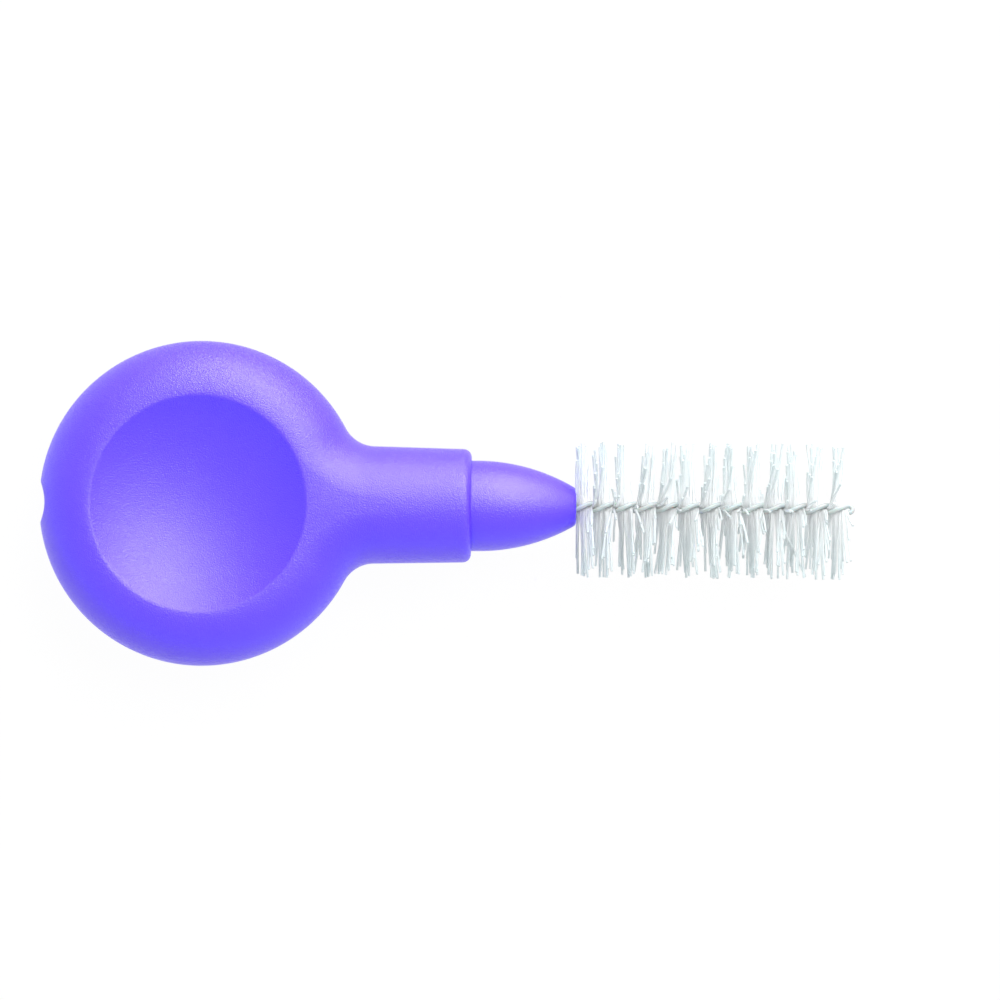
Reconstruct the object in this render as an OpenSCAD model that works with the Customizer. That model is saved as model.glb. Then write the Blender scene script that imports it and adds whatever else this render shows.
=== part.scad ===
// Interdental brush with a short soft grip, in millimetres.
// The axis of the brush is X and points to its tip. The finger disc faces +Z.
// The origin is on that axis, where the nose comes out of the soft sleeve.

/* [Soft grip] */
// Diameter of the finger disc
disc_d = 19.1; // [17:0.1:24]
// Distance from the centre of the disc to the end of the sleeve
disc_reach = 15.85; // [14.5:0.05:22]
// Diameter of the round edge of the disc and of the sleeve where it leaves the disc
rim_d = 6.9; // [6.2:0.05:7.4]
// How far the two crests of the disc are flattened below the full round
crest_drop = 0.03; // [0.01:0.005:0.08]
// Width of the flat ring between the finger dimple and the round edge
land_w = 0.15; // [0.1:0.05:1]
// Depth of each finger dimple below the flat ring
dimple_depth = 1.9; // [1:0.1:2.1]
// Radius of the rounding at the mouth of each dimple
dimple_edge_r = 0.35; // [0.25:0.05:1.6]
// Radius of the hollow curve from the disc into the sleeve
web_r = 2; // [1:0.1:3]
// Diameter of the sleeve at its open end
sleeve_end_d = 6.65; // [6.2:0.05:6.9]
// Radius of the rounding at the open end of the sleeve
sleeve_edge_r = 0.5; // [0.2:0.05:0.6]
// Width of the shallow moulding recess in the back edge of the disc
gate_w = 2.42; // [1:0.02:3.5]
// Depth of that recess below the line through its two corners
gate_depth = 0.28; // [0.1:0.02:0.6]

/* [Hard core] */
// Diameter of the straight seat at the root of the nose
nose_d = 5.32; // [5:0.02:5.6]
// Length of the nose outside the sleeve
nose_len = 6.15; // [5:0.05:9]
// Length of the straight seat
seat_len = 0.4; // [0.3:0.05:1.2]
// Diameter to which the nose has narrowed at its end
nose_tip_d = 2.15; // [1.6:0.05:3.4]
// Radius of the rounding round the end of the nose
nose_edge_r = 0.3; // [0.1:0.05:0.6]
// Diameter of the stem inside the sleeve
stem_d = 4.3; // [3:0.1:4.8]
// Diameter of the grip rings on the stem
ring_d = 5; // [4.9:0.05:5.6]
// Width of one grip ring
ring_w = 0.7; // [0.4:0.05:1]
// Distance from one grip ring to the next
ring_step = 1.75; // [1.3:0.05:1.9]
// Thickness of the paddle inside the disc
paddle_t = 1.2; // [0.8:0.1:1.6]
// Width of the paddle
paddle_w = 8; // [6:0.1:10]
// Distance that the paddle reaches past the centre of the disc
paddle_past = 4.5; // [3:0.1:6]
// Width of the paddle's outer rim beside the holes that the soft grip flows through
paddle_rim = 0.6; // [0.3:0.05:0.9]
// Width of the bridge between two of those holes
flow_gap = 0.4; // [0.2:0.05:0.6]

/* [Twisted wire] */
// Diameter of the bare steel wire
wire_d = 0.22; // [0.16:0.01:0.24]
// Thickness of the plastic coat on the wire
coat_t = 0.04; // [0.02:0.01:0.05]
// Length of one full turn of the twist
lead = 2.504; // [1.8:0.002:3.4]
// Depth to which the wire is held in the core
anchor_depth = 6.5; // [4:0.1:8]
// Radial room between the coated wire and its hole in the core
wire_room = 0.03; // [0.01:0.01:0.1]

/* [Bristles] */
// Diameter of the brush across its bristle tips
brush_d = 8; // [4:0.1:10]
// Length of the bristled stretch
brush_len = 16; // [12:0.1:20]
// Distance from the end of the nose to the first bristle
brush_gap = 0.05; // [0.02:0.01:1]
// Width of one bristle along the brush
bristle_w = 0.06; // [0.04:0.005:0.07]
// Thickness of one bristle, and of the bed that the wire clamps
bristle_t = 0.08; // [0.05:0.005:0.09]
// Most that a bristle tip strays along the brush
stray = 0.28; // [0:0.02:0.3]

/* [Hidden] */
$fn = 64;

// Overrun of a cut past the face that it opens
over = 0.5;

// The round edge of the disc is a ring of radius rim_r about a circle of radius hub_r
rim_r = rim_d / 2;
hub_r = disc_d / 2 - rim_r;
crest_z = rim_r - crest_drop;
crest_half = sqrt(rim_r^2 - crest_z^2);

// The hollow curve turns about two upright axes, one on each side of the sleeve
turn_r = rim_r + web_r;
web_x = sqrt((hub_r + turn_r)^2 - turn_r^2);

// A dimple is a ball of radius bowl_r, rounded off to the flat ring at mouth_r
mouth_r = hub_r + crest_half - land_w;
reach_r = (mouth_r^2 + dimple_depth^2) / (2 * dimple_depth);
bowl_r = reach_r - dimple_edge_r;
bowl_z = crest_z - dimple_depth + bowl_r;
blend_r = mouth_r * bowl_r / reach_r;
blend_z = bowl_z - sqrt(bowl_r^2 - blend_r^2);

// The ball is smaller by this, so that a hairline ledge keeps it apart from the rounding
ledge = 0.03;

// The moulding recess is part of an upright cylinder whose axis lies behind the disc
gate_r = ((gate_w / 2)^2 + gate_depth^2) / (2 * gate_depth);
gate_line = sqrt((disc_d / 2)^2 - (gate_w / 2)^2);

// The nose narrows along one arc that leaves the straight seat without a corner
nose_r = nose_d / 2;
sweep_len = nose_len - seat_len;
sweep_drop = nose_r - nose_tip_d / 2;
sweep_r = (sweep_len^2 + sweep_drop^2) / (2 * sweep_drop);
tip_x = nose_len - nose_edge_r;
tip_r = nose_r - sweep_r + sqrt((sweep_r - nose_edge_r)^2 - (tip_x - seat_len)^2);
round_x = seat_len + (tip_x - seat_len) * sweep_r / (sweep_r - nose_edge_r);
round_r = nose_r - sweep_r + sqrt(sweep_r^2 - (round_x - seat_len)^2);

// The stem ends in a cone that runs out inside the paddle, between the two dimples
ring_count = 3;
ring_first = 1.2;
stem_skin = 0.8;
stem_r = stem_d / 2;
paddle_x = -disc_reach - paddle_past;
flow_count = 3;
flow_d = (paddle_w - 2 * paddle_rim - (flow_count - 1) * flow_gap) / flow_count;
stem_end = -disc_reach + dimple_reach(stem_r + stem_skin);
cone_end = -disc_reach + max(flow_d, dimple_reach(paddle_t / 2 + stem_skin));

// Two legs of coated wire are twisted with the bristle bed between them
coat_r = wire_d / 2 + coat_t;
coat_room = 0.004;
bed_room = 0.01;
leg_r = coat_r + bristle_t / 2 + bed_room;
wire_start = nose_len - anchor_depth;
brush_start = nose_len + brush_gap;
brush_end = brush_start + brush_len;
front_cross = 0.3;
wire_sides = 6;
rings_per_turn = 8;
fold_rings = 6;

// Each bristle node is one slice of the bed with a row of bristles on both edges
slices = 13;
row = 14;
corners = 4;
slice_len = brush_len / slices;
bed_half = leg_r;
tip_fall = 0.12;
swing = 3;
scatter = rands(-1, 1, slices * row * 2 * 3, 7);

// Distance from the centre of the disc at which a dimple leaves the height z, at most its mouth
function dimple_reach(z) =
    z > blend_z ? blend_r : sqrt(max(0, bowl_r^2 - (bowl_z - z)^2));

// Outline of half the disc, from its centre to its round edge, with both crests flat
module disc_half() {
    intersection() {
        union() {
            translate([0, -rim_r]) square([hub_r, rim_d]);
            translate([hub_r, 0]) circle(rim_r);
        }
        translate([0, -crest_z]) square([disc_d, crest_z * 2]);
    }
}

// The web where the disc flows into the sleeve, hollowed on both sides
module web() {
    difference() {
        linear_extrude(crest_z * 2, center = true)
            polygon([[0, 0], [web_x, -turn_r], [web_x, turn_r]]);
        for (side = [-1, 1])
            translate([web_x, side * turn_r, 0]) rotate_extrude() difference() {
                translate([0, -rim_r]) square([turn_r, rim_d]);
                translate([turn_r, 0]) circle(rim_r);
            }
    }
}

// The sleeve, a slim taper with a rounded end, with the crests of the disc run out on it
module sleeve() {
    sleeve_len = disc_reach - web_x;
    end_r = sleeve_end_d / 2;
    intersection() {
        rotate([0, 90, 0]) rotate_extrude() {
            difference() {
                polygon([[0, 0], [rim_r, 0], [end_r, sleeve_len], [0, sleeve_len]]);
                translate([end_r - sleeve_edge_r, sleeve_len - sleeve_edge_r])
                    square(sleeve_edge_r * 2);
            }
            intersection() {
                translate([end_r - sleeve_edge_r, sleeve_len - sleeve_edge_r])
                    circle(sleeve_edge_r);
                translate([0, sleeve_len - sleeve_edge_r])
                    square([end_r, sleeve_edge_r]);
            }
        }
        translate([0, -rim_d, -crest_z]) cube([disc_reach, rim_d * 2, crest_z * 2]);
    }
}

// One finger dimple as a cutter: the rounded mouth, and below it the ball
module dimple() {
    rotate_extrude() difference() {
        translate([0, blend_z]) square([mouth_r, crest_z + over - blend_z]);
        translate([mouth_r, crest_z - dimple_edge_r]) circle(dimple_edge_r);
    }
    intersection() {
        translate([0, 0, bowl_z]) rotate([90, 0, 0]) sphere(bowl_r - ledge);
        cylinder(r = mouth_r, h = blend_z);
    }
}

// Soft grip: disc, sleeve, two finger dimples and the recess left by the mould
module grip() {
    color([0.42, 0.33, 1]) difference() {
        translate([-disc_reach, 0, 0]) difference() {
            union() {
                rotate_extrude() disc_half();
                web();
                translate([web_x, 0, 0]) sleeve();
            }
            dimple();
            mirror([0, 0, 1]) dimple();
            translate([-gate_line + gate_depth - gate_r, 0, 0])
                cylinder(r = gate_r, h = rim_d + over, center = true);
        }
        core_body();
    }
}

// Outline of half the nose: straight seat, long arc and rounded end
module nose_half() {
    square([nose_r, seat_len]);
    intersection() {
        translate([nose_r - sweep_r, seat_len]) circle(sweep_r);
        translate([0, seat_len]) square([nose_r, round_x - seat_len]);
    }
    polygon([[0, round_x], [round_r, round_x], [tip_r, tip_x], [tip_r, nose_len], [0, nose_len]]);
    translate([tip_r, tip_x]) circle(nose_edge_r);
}

// Stem, grip rings and paddle, which the soft grip is moulded round
module core_body() {
    rotate([0, -90, 0]) rotate_extrude() {
        square([stem_r, -stem_end]);
        polygon([[0, -stem_end], [stem_r, -stem_end], [paddle_t / 2, -cone_end], [0, -cone_end]]);
        for (i = [0:ring_count - 1])
            translate([0, ring_first + i * ring_step]) square([ring_d / 2, ring_w]);
    }
    paddle();
}

// Flat paddle with round ends and a row of holes, in the middle plane of the disc
module paddle() {
    end_x = stem_end - paddle_w / 2;
    linear_extrude(paddle_t, center = true) difference() {
        union() {
            translate([paddle_x + paddle_w / 2, -paddle_w / 2])
                square([end_x - paddle_x - paddle_w / 2, paddle_w]);
            translate([paddle_x + paddle_w / 2, 0]) circle(paddle_w / 2);
            translate([end_x, 0]) circle(paddle_w / 2);
        }
        for (i = [0:flow_count - 1])
            translate([-disc_reach, (i - (flow_count - 1) / 2) * (flow_d + flow_gap)])
                circle(flow_d / 2);
    }
}

// Hard core: the nose that shows, and the stem and paddle hidden in the grip
module nose_core() {
    color([0.36, 0.27, 0.98]) difference() {
        union() {
            rotate([0, 90, 0]) rotate_extrude() nose_half();
            core_body();
        }
        translate([wire_start - wire_room, 0, 0]) rotate([0, 90, 0])
            cylinder(r = leg_r + coat_r + wire_room, h = anchor_depth + over);
    }
}

// Unit vector square to the axis, at an angle from +Y towards +Z
function ray(angle) = [0, cos(angle), sin(angle)];

// Angle of the first leg at x: left-handed, passing in front of the axis at front_cross
function twist(x) = 90 - 360 * (x - brush_start - front_cross) / lead;

function unit(v) = v / norm(v);

// The folded wire as a list of [point, direction away from the axis or the fold]
leg_steps = ceil((brush_end - wire_start) / lead * rings_per_turn);
function leg_x(i) = wire_start + (brush_end - wire_start) * i / leg_steps;
function leg_ring(x, turn) = [[x, 0, 0] + leg_r * ray(twist(x) + turn), ray(twist(x) + turn)];
function fold_ring(angle) =
    let (out = [sin(angle), 0, 0] + cos(angle) * ray(twist(brush_end)))
    [[brush_end, 0, 0] + leg_r * out, out];
wire_path = concat(
    [for (i = [0:leg_steps]) leg_ring(leg_x(i), 0)],
    [for (i = [1:fold_rings - 1]) fold_ring(180 * i / fold_rings)],
    [for (i = [leg_steps:-1:0]) leg_ring(leg_x(i), 180)]
);

// Direction of the path at one of its rings
function heading(path, i) =
    i == 0 || i == len(path) - 1
        ? [i == 0 ? 1 : -1, 0, 0]
        : unit(path[i + 1][0] - path[i - 1][0]);

// Corners of a tube of radius r about the path, one ring after another
function tube_points(path, r) = [
    for (i = [0:len(path) - 1])
        let (along = heading(path, i))
        let (side = unit(cross(along, path[i][1])))
        let (out = cross(side, along))
        for (k = [0:wire_sides - 1])
            path[i][0] + r * (cos(k * 360 / wire_sides) * out + sin(k * 360 / wire_sides) * side)
];

// Triangles of the tube's wall, whose corners start at number first
function wall_faces(rings, first) = [
    for (i = [0:rings - 2], k = [0:wire_sides - 1])
        let (a = first + i * wire_sides + k)
        let (b = first + i * wire_sides + (k + 1) % wire_sides)
        each [[a, b, b + wire_sides], [a, b + wire_sides, a + wire_sides]]
];

// Triangles that close one end of a tube with a flat cap
function cap_faces(first) = [for (k = [1:wire_sides - 2]) [first, first + k + 1, first + k]];

// Triangles between the outer and the inner edge at one end of a hollow tube
function edge_faces(outer, inner) = [
    for (k = [0:wire_sides - 1])
        let (n = (k + 1) % wire_sides)
        each [[outer + k, inner + n, outer + n], [outer + k, inner + k, inner + n]]
];

function flipped(faces) = [for (f = faces) [f[0], f[2], f[1]]];

// Steel wire, folded at the tip of the brush and twisted
module wire() {
    rings = len(wire_path);
    color([0.75, 0.76, 0.78]) polyhedron(
        tube_points(wire_path, wire_d / 2),
        concat(
            wall_faces(rings, 0),
            cap_faces(0),
            flipped(cap_faces((rings - 1) * wire_sides))
        )
    );
}

// Plastic coat on the whole length of the wire, open at both ends
module wire_coating() {
    rings = len(wire_path);
    inner = rings * wire_sides;
    last = (rings - 1) * wire_sides;
    color([0.83, 0.85, 0.85]) polyhedron(
        concat(
            tube_points(wire_path, coat_r),
            tube_points(wire_path, wire_d / 2 + coat_room)
        ),
        concat(
            wall_faces(rings, 0),
            flipped(wall_faces(rings, inner)),
            edge_faces(0, inner),
            flipped(edge_faces(last, inner + last))
        )
    );
}

// Bristle j of slice k: its place along the brush
function bristle_x(k, j) = brush_start + (k + (j + 0.5) / row) * slice_len;

// Random share from -1 to 1 for one bristle, on the edge of the bed at side 0 or 1
function share(k, j, side, i) = scatter[((k * row + j) * 2 + side) * 3 + i];

// Places along a slice where the corners of its bed lie: its ends and both flanks of each bristle
function bed_stations(k) = concat(
    [brush_start + k * slice_len],
    [for (j = [0:row - 1], flank = [-0.5, 0.5]) bristle_x(k, j) + flank * bristle_w],
    [brush_start + (k + 1) * slice_len]
);

// Four corners round the bed at x
function bed_corners(x) =
    let (across = ray(twist(x) + 90) * bed_half, up = ray(twist(x)) * bristle_t / 2)
    [for (c = [[1, 1], [1, -1], [-1, -1], [-1, 1]]) [x, 0, 0] + c[0] * across + c[1] * up];

// Four corners of the tip of one bristle
function tip_corners(k, j, side) =
    let (
        sign = 1 - 2 * side,
        x = bristle_x(k, j) + share(k, j, side, 0) * stray,
        angle = twist(bristle_x(k, j)) + 90 + share(k, j, side, 1) * swing,
        reach = brush_d / 2 - tip_fall * (1 + share(k, j, side, 2)) / 2,
        out = sign * reach * ray(angle),
        up = ray(angle - 90) * bristle_t / 2
    )
    [for (c = [[-1, 1], [-1, -1], [1, -1], [1, 1]]) [x + c[0] * bristle_w / 2, 0, 0] + out + c[1] * up];

function quad(a, b, c, d) = [[a, b, c], [a, c, d]];

// Slice k of the bed with its bristles, as one closed solid
module bristles(k) {
    stations = bed_stations(k);
    bed_end = len(stations) * corners;
    bed = [for (x = stations) each bed_corners(x)];
    tips = [for (j = [0:row - 1], side = [0, 1]) each tip_corners(k, j, side)];
    bed_faces = [
        for (s = [0:len(stations) - 2])
            let (a = s * corners, b = a + corners)
            each concat(
                quad(a + 3, a, b, b + 3),
                quad(a + 1, a + 2, b + 2, b + 1),
                s % 2 == 1 ? [] : quad(a, a + 1, b + 1, b),
                s % 2 == 1 ? [] : quad(a + 2, a + 3, b + 3, b + 2)
            )
    ];
    bristle_faces = [
        for (j = [0:row - 1], side = [0, 1])
            let (
                a = (1 + 2 * j) * corners,
                root = side == 0 ? [a, a + 1, a + 5, a + 4] : [a + 3, a + 2, a + 6, a + 7],
                tip = bed_end + (j * 2 + side) * corners,
                walls = [
                    for (c = [0:corners - 1])
                        let (n = (c + 1) % corners)
                        each quad(root[c], root[n], tip + n, tip + c)
                ],
                all = concat(walls, quad(tip, tip + 1, tip + 2, tip + 3))
            )
            each side == 0 ? all : flipped(all)
    ];
    ends = concat(quad(0, 3, 2, 1), [for (f = quad(0, 1, 2, 3)) f + (bed_end - corners) * [1, 1, 1]]);
    color([0.86, 0.91, 0.88]) polyhedron(
        concat(bed, tips),
        concat(bed_faces, bristle_faces, ends)
    );
}

grip();
nose_core();
wire();
wire_coating();
for (k = [0:slices - 1])
    bristles(k);
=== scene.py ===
# %% [markdown]
# # An interdental brush, photographed from straight above
# The object is small: 48 mm from the round finger disc to the tip of the brush. It has a soft
# violet grip that is moulded round a hard violet core, one folded and twisted wire with a pale
# coat, and several hundred nylon filaments that the twist clamps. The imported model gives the
# frame and the outer sizes. Here each piece that shows is made again with a smooth surface and a
# finish, in the same place and at the same size.

# %% Load the frame
import math

import bmesh
import bpy
import numpy as np
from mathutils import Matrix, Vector


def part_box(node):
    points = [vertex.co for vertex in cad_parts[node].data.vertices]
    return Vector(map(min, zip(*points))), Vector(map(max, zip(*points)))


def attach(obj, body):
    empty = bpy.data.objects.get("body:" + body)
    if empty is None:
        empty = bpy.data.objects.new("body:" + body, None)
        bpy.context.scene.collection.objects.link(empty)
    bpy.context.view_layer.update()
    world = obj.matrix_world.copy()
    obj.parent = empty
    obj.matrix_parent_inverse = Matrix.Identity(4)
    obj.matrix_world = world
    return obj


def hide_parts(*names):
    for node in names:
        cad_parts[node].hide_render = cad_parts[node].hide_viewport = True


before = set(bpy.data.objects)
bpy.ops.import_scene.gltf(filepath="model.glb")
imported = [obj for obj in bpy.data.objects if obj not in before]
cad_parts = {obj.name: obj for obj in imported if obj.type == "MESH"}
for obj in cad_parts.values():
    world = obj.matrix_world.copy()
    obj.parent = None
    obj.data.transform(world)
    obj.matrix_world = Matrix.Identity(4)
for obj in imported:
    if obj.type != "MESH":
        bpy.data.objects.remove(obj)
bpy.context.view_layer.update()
print("nodes:", sorted(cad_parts))

# %% [markdown]
# ## One unit for a small thing
# Blender works in metres, and this object is described in millimetres. Every size below is
# written in millimetres, and a mesh is scaled once, when it is made. So the numbers stay easy to
# read, and the object itself keeps a scale of 1, which patterns on Object coordinates need.

# %% Millimetres
MM = 0.001


def new_object(name, data):
    """A new object of the scene, at the origin."""
    made = bpy.data.objects.new(name, data)
    bpy.context.scene.collection.objects.link(made)
    return made


def mesh_object(name, points, edges, faces):
    """A new object at the origin, from points in millimetres."""
    mesh = bpy.data.meshes.new(name)
    mesh.from_pydata([Vector(p) * MM for p in points], edges, faces)
    return new_object(name, mesh)


def box_mm(name):
    """Lowest and highest corner of a node of the frame, in millimetres."""
    low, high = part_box(name)
    return low / MM, high / MM


grip_low, grip_high = box_mm("grip")
core_low, core_high = box_mm("nose_core")
print("grip from x", round(grip_low.x, 2), "to", round(grip_high.x, 2), "mm")
print("nose out to x", round(core_high.x, 2), "mm")

# %% [markdown]
# ## The sizes of the grip
# The grip is one idea: a half-round edge carried along a path. The path is a circle inside the
# disc, then a hollow bend on each side, then the axis of the sleeve. A few driving sizes give all
# of it. The disc's width, the height of its crests and the end of the sleeve come from the frame.

# %% Grip sizes
SLEEVE_END = grip_high.x
CREST_Z = grip_high.z
DISC_R = grip_high.y
RIM_R = 3.45  # of the half-round edge
HUB_R = DISC_R - RIM_R  # of the circle that the edge is carried along
SLEEVE_REACH = 15.85  # from the middle of the disc to the open end
DISC_X = SLEEVE_END - SLEEVE_REACH
WEB_R = 2  # of the hollow bend, seen from above
TURN_R = RIM_R + WEB_R  # of the path through that bend
WEB_X = math.sqrt((HUB_R + TURN_R) ** 2 - TURN_R ** 2)
SLEEVE_R = 3.325
SLEEVE_EDGE = 0.5
LAND = 0.15  # flat width between the edge and the dimple
DIMPLE_DEPTH = 1.9
DIMPLE_EDGE = 0.35  # radius of the dimple's rounded border
CREST_HALF = math.sqrt(RIM_R ** 2 - CREST_Z ** 2)
MOUTH_R = HUB_R + CREST_HALF - LAND
REACH_R = (MOUTH_R ** 2 + DIMPLE_DEPTH ** 2) / (2 * DIMPLE_DEPTH)
BOWL_R = REACH_R - DIMPLE_EDGE
BOWL_Z = CREST_Z - DIMPLE_DEPTH + BOWL_R
print("radius of the disc", round(DISC_R, 2), "mm, of the dimple's mouth", round(MOUTH_R, 2),
      "mm and of its bowl", round(BOWL_R, 2), "mm")

# %% [markdown]
# ## Stations along the edge
# A station is a point of the path and the direction that looks outwards from it. They run from
# the root of the sleeve on one side, round the back of the disc, to the root on the other side.
# They are denser at the back, where the mould has left a small recess. Formulas for arcs are used
# instead of a drawn curve, so that the edge is exactly as round as the model.

# %% Stations
WEB_STEPS = 28
DISC_POINTS = 150
BACK_POINTS = 60
BACK_ANGLE = math.radians(13)


def web_station(turn):
    """A station on the hollow bend, turned from the sleeve to the disc."""
    away = Vector((math.sin(turn), -math.cos(turn)))
    return [Vector((WEB_X, -TURN_R)) - TURN_R * away, away]


def disc_station(angle):
    """A station on the circle inside the disc."""
    away = Vector((math.cos(angle), math.sin(angle)))
    return [HUB_R * away, away]


web_turn = math.atan2(WEB_X, TURN_R)
disc_from = web_turn - math.pi / 2
to_back = -math.pi + BACK_ANGLE
side_angles = np.linspace(disc_from, to_back, DISC_POINTS)
back_angles = np.linspace(to_back, -math.pi, BACK_POINTS)[1:]
half = [web_station(t) for t in np.linspace(0, web_turn, WEB_STEPS, endpoint=False)]
half += [disc_station(a) for a in np.concatenate([side_angles, back_angles])]
mirrored = [[Vector((v.x, -v.y)) for v in station] for station in reversed(half[:-1])]
stations = half + mirrored
print("stations:", len(stations))

# %% [markdown]
# ## The round edge and the sleeve
# Each station gets one arc of points from the lower crest to the upper crest. The sleeve
# continues from the first and last station as full rings, and ends in a rounded lip.

# %% Arcs and rings of the sleeve
EDGE_STEPS = 60
SLEEVE_STEPS = 14
LIP_STEPS = 10


def section(place, away, radius):
    """Points of the half-round edge at one station, flat at the crests."""
    top = math.asin(min(1, CREST_Z / radius))
    angles = np.linspace(-top, top, EDGE_STEPS + 1)
    return [
        Vector((
            DISC_X + place.x + radius * math.cos(a) * away.x,
            place.y + radius * math.cos(a) * away.y,
            radius * math.sin(a),
        ))
        for a in angles
    ]


def sleeve_profile():
    """Places along the sleeve from its root to its open end, as pairs of x and radius."""
    length = SLEEVE_END - DISC_X - WEB_X
    slope = (SLEEVE_R - RIM_R) / length
    straight = np.linspace(0, length - SLEEVE_EDGE, SLEEVE_STEPS + 1)[1:]
    pairs = [(WEB_X + x, RIM_R + slope * x) for x in straight]
    lip_r = pairs[-1][1] - SLEEVE_EDGE
    for turn in np.linspace(0, math.pi / 2, LIP_STEPS + 1)[1:]:
        x = WEB_X + length - SLEEVE_EDGE + SLEEVE_EDGE * math.sin(turn)
        pairs.append((x, lip_r + SLEEVE_EDGE * math.cos(turn)))
    return pairs


print("rings on the sleeve:", len(sleeve_profile()))

# %% [markdown]
# ## The two dimples
# Each crest is closed with a flat face round the mouth of its dimple. The dimple is a fillet
# followed by part of a ball, as rings of points round the disc's centre.

# %% Rings of a dimple
MOUTH_STEPS = 240
FILLET_STEPS = 10
BOWL_STEPS = 26


def dimple_profile():
    """Radius and height of each ring of a dimple, from its mouth to the point before its middle."""
    toward = Vector((-MOUTH_R, BOWL_Z - CREST_Z + DIMPLE_EDGE)).normalized()
    lean = math.atan2(-toward.x, toward.y)
    rings = []
    for turn in np.linspace(0, lean, FILLET_STEPS + 1):
        z = CREST_Z - DIMPLE_EDGE + DIMPLE_EDGE * math.cos(turn)
        rings.append((MOUTH_R - DIMPLE_EDGE * math.sin(turn), z))
    inner = rings[-1][0]
    for share in np.linspace(1, 0, BOWL_STEPS + 1)[1:-1]:
        r = inner * share
        rings.append((r, BOWL_Z - math.sqrt(BOWL_R ** 2 - r ** 2)))
    return rings


print("rings in a dimple:", len(dimple_profile()))

# %% [markdown]
# ## The recess at the back
# The mould leaves a shallow round groove down the back of the disc, with soft corners. It could
# be cut with a cylinder, but a cut has a sharp border that would need a bevel. A smooth maximum
# is simpler: each point of the edge is moved forwards to the cylinder wherever it lies behind it,
# and the two shapes melt into each other over a short distance.

# %% Recess left by the mould
GATE_W = 2.42
GATE_DEPTH = 0.38
GATE_SOFT = 0.1  # distance over which it melts into the edge
GATE_R = ((GATE_W / 2) ** 2 + GATE_DEPTH ** 2) / (2 * GATE_DEPTH)
GATE_X = DISC_X - math.sqrt(DISC_R ** 2 - (GATE_W / 2) ** 2) + GATE_DEPTH - GATE_R


def soft_max(a, b, blend):
    """The larger of two values, rounded off where they are nearly equal."""
    near = max(blend - abs(a - b), 0) / blend
    return max(a, b) + near * near * blend / 4


def press_recess(point):
    """The point, moved forwards to the recess if it lies in it."""
    across = point.y ** 2
    if point.x > DISC_X - HUB_R or across > GATE_R ** 2:
        return point
    groove = GATE_X + math.sqrt(GATE_R ** 2 - across)
    return Vector((soft_max(point.x, groove, GATE_SOFT), point.y, point.z))


print("recess reaches x", round(GATE_X + GATE_R, 2), "mm")

# %% [markdown]
# ## Knit the grip together
# The points are joined with bmesh: quads between neighbouring arcs, quads between rings, and a
# filled face with a hole for each crest. Every point passes through the rule for the recess on
# its way in, so the recess needs no cut.

# %% Rows of points and strips of faces
def add(bm, points):
    """New points of the mesh, moved forwards where they lie in the recess."""
    return [bm.verts.new(press_recess(p) * MM) for p in points]


def join(bm, a, b):
    """A strip of quads between two rows of points."""
    for i in range(len(a) - 1):
        bm.faces.new((a[i], a[i + 1], b[i + 1], b[i]))


def ring_edges(bm, ring):
    """The edges round a ring of points, new ones where there are none yet."""
    pairs = zip(ring, ring[1:] + ring[:1])
    return [bm.edges.get(pair) or bm.edges.new(pair) for pair in pairs]


print("rows, strips and rings ready")

# %% [markdown]
# ## Skin of the sleeve and of a dimple
# The sleeve takes over the two arcs at its root, one from each side, and knits on until its open
# end. A dimple is knitted inwards from its mouth and ends in a fan of triangles.

# %% Sleeve and dimple
def add_sleeve(bm, left, right):
    """The sleeve, from the arcs at its root to its flat open end."""
    for x, radius in sleeve_profile():
        place = Vector((x, 0))
        new_left = add(bm, section(place, Vector((0, -1)), radius))
        new_right = add(bm, section(place, Vector((0, 1)), radius))
        join(bm, left, new_left)
        join(bm, right, new_right)
        for i in (-1, 0):
            bm.faces.new((left[i], right[i], new_right[i], new_left[i]))
        left, right = new_left, new_right
    bm.faces.new(left[:-1] + right[:0:-1])


def add_dimple(bm, level):
    """A dimple in the upper face, or in the lower one at level -1. Gives the ring at its mouth."""
    angles = np.linspace(0, 2 * math.pi, MOUTH_STEPS, endpoint=False)
    rings = [
        add(bm, [Vector((DISC_X + r * math.cos(a), r * math.sin(a), level * z)) for a in angles])
        for r, z in dimple_profile()
    ]
    for a, b in zip(rings, rings[1:]):
        join(bm, a + a[:1], b + b[:1])
    middle = add(bm, [Vector((DISC_X, 0, level * (BOWL_Z - BOWL_R)))])[0]
    last = rings[-1]
    for i in range(MOUTH_STEPS):
        bm.faces.new((last[i], last[(i + 1) % MOUTH_STEPS], middle))
    return rings[0]


print("points in the skin of both dimples:", 2 * (MOUTH_STEPS * len(dimple_profile()) + 1))

# %% [markdown]
# ## Close the mesh and shade it
# Doubles are merged before the normals are recalculated, so that the result is one closed skin
# with all faces looking outwards. A closed skin has exactly two faces at each edge, which is easy
# to count. The faces are shaded smooth, apart from edges that are sharp on the real piece.

# %% Closed and shaded
SAME_POINT = 0.0001
CORNER = math.radians(30)


def shade(made):
    """Smooth shading, with edges sharper than the corner angle kept as edges."""
    made.data.shade_smooth()
    made.data.set_sharp_from_angle(angle=CORNER)


def closed_object(bm, name):
    """The bmesh as an object, with its doubles merged and its faces turned outwards."""
    bmesh.ops.remove_doubles(bm, verts=bm.verts, dist=SAME_POINT * MM)
    bmesh.ops.recalc_face_normals(bm, faces=bm.faces)
    mesh = bpy.data.meshes.new(name)
    bm.to_mesh(mesh)
    bm.free()
    made = new_object(name, mesh)
    shade(made)
    return made


def open_edges(made):
    """How many edges of a mesh don't lie between exactly two faces."""
    bm = bmesh.new()
    bm.from_mesh(made.data)
    found = sum(len(e.link_faces) != 2 for e in bm.edges)
    bm.free()
    return found


print("edges turn sharp at", round(math.degrees(CORNER)), "degrees")

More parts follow.
